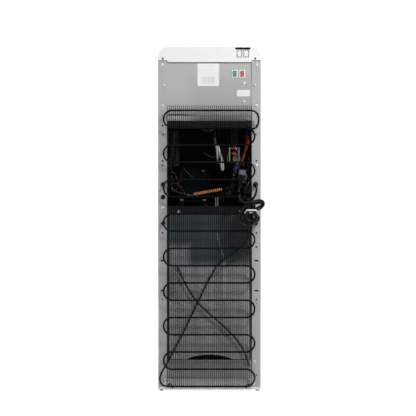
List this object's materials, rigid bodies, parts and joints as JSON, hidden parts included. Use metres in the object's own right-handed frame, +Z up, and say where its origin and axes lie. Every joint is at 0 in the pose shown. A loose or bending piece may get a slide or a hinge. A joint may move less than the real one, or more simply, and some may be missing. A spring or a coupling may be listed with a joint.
{
  "type": "bottom load water cooler",
  "caption": "Tall bottom load water cooler with a hinged bottle door, push-button taps over a drip tray, a wire-on-tube condenser and a hanked power cord at the back.",
  "frame": {"origin": "on the floor under the middle of the cooler, measured without the power cord", "axes": "+Z up, taps and door face -Y, condenser at +Y, +X is the hinge side of the door"},
  "size_m": [0.3201, 0.4079, 1.04],
  "materials": {
    "white_gloss": "glossy moulded plastic",
    "white_steel": "light grey powder coat",
    "grey_steel": "plain coated sheet",
    "dark_steel": "dark coated sheet",
    "black_gloss": "glossy moulded plastic",
    "black_plastic": "fine textured plastic",
    "grey_plastic": "plain moulded plastic",
    "pale_plastic": "plain moulded plastic",
    "red_plastic": "glossy moulded plastic",
    "green_plastic": "glossy moulded plastic",
    "blue_plastic": "glossy moulded plastic",
    "board": "coated laminate",
    "black_enamel": "glossy black enamel",
    "copper": "bare drawn copper",
    "stainless": "brushed",
    "zinc": "zinc plated",
    "rubber_black": "plain",
    "rubber_grey": "plain",
    "silicone": "translucent",
    "foam": "cut foam",
    "wire_mix": "plain insulation"
  },
  "bodies": {
    "cabinet": {"side_panel_left": "white_steel", "side_panel_right": "white_steel", "base_pan": "grey_steel", "feet": "grey_plastic", "mid_shelf": "grey_steel", "lower_rear_panel": "grey_steel", "tank_shelf": "dark_steel", "upper_rear_panel": "white_steel", "top_cover": "white_gloss", "front_fascia": "white_gloss", "control_panel": "black_gloss", "button_board": "board", "alcove": "black_plastic", "spouts": "black_plastic", "hinge_brackets": "zinc", "bottle_probe": "pale_plastic", "probe_clip": "pale_plastic", "water_pump": "black_plastic", "compressor_lower_shell": "black_enamel", "compressor_upper_shell": "black_enamel", "compressor_foot_plate": "black_enamel", "compressor_grommets": "rubber_black", "compressor_bolts": "zinc", "relay_cover": "black_plastic", "filter_drier": "copper", "capillary_tube": "copper", "suction_line": "rubber_black", "discharge_line": "black_enamel", "outlet_line": "black_enamel", "cold_tank": "stainless", "cold_tank_foam": "foam", "hot_tank": "stainless", "band_heater": "stainless", "terminal_box": "pale_plastic", "wiring_harness": "wire_mix", "silicone_hoses": "silicone", "drain_hose": "rubber_black", "condenser_tube": "black_enamel", "condenser_wires": "black_enamel", "condenser_clips": "black_plastic", "condenser_hooks": "black_enamel", "switch_bodies": "white_gloss", "cord_grommet": "black_plastic", "power_cord": "rubber_black", "cord_hank": "rubber_black", "plug": "rubber_black", "plug_cap": "grey_plastic", "cable_tie": "pale_plastic", "back_screws": "zinc"},
    "door": {"front_door": "white_gloss", "door_liner": "pale_plastic", "door_magnet": "rubber_black"},
    "tray": {"drip_tray": "black_plastic", "drip_grille": "stainless"},
    "hot_button": {"button_hot": "red_plastic"},
    "room_button": {"button_room": "grey_plastic"},
    "cold_button": {"button_cold": "blue_plastic"},
    "green_rocker": {"rocker_green": "green_plastic"},
    "red_rocker": {"rocker_red": "red_plastic"}
  },
  "joints": [
    {"name": "door_hinge", "type": "hinge", "parent": "cabinet", "child": "door", "pos_m": [0.147, -0.162, 0.3], "axis": [0, 0, 1], "range_deg": [0, 110]},
    {"name": "tray_slide", "type": "slide", "parent": "cabinet", "child": "tray", "axis": [0, -1, 0], "range_m": [0, 0.1]},
    {"name": "hot_press", "type": "slide", "parent": "cabinet", "child": "hot_button", "axis": [0, 1, 0], "range_m": [0, 0.003], "stiffness_N_per_m": 500, "springref_m": -0.002},
    {"name": "room_press", "type": "slide", "parent": "cabinet", "child": "room_button", "axis": [0, 1, 0], "range_m": [0, 0.003], "stiffness_N_per_m": 500, "springref_m": -0.002},
    {"name": "cold_press", "type": "slide", "parent": "cabinet", "child": "cold_button", "axis": [0, 1, 0], "range_m": [0, 0.003], "stiffness_N_per_m": 500, "springref_m": -0.002},
    {"name": "green_rock", "type": "hinge", "parent": "cabinet", "child": "green_rocker", "pos_m": [-0.076, 0.1476, 0.9586], "axis": [1, 0, 0], "range_deg": [0, 18]},
    {"name": "red_rock", "type": "hinge", "parent": "cabinet", "child": "red_rocker", "pos_m": [-0.0988, 0.1476, 0.9586], "axis": [1, 0, 0], "range_deg": [0, 18]}
  ]
}
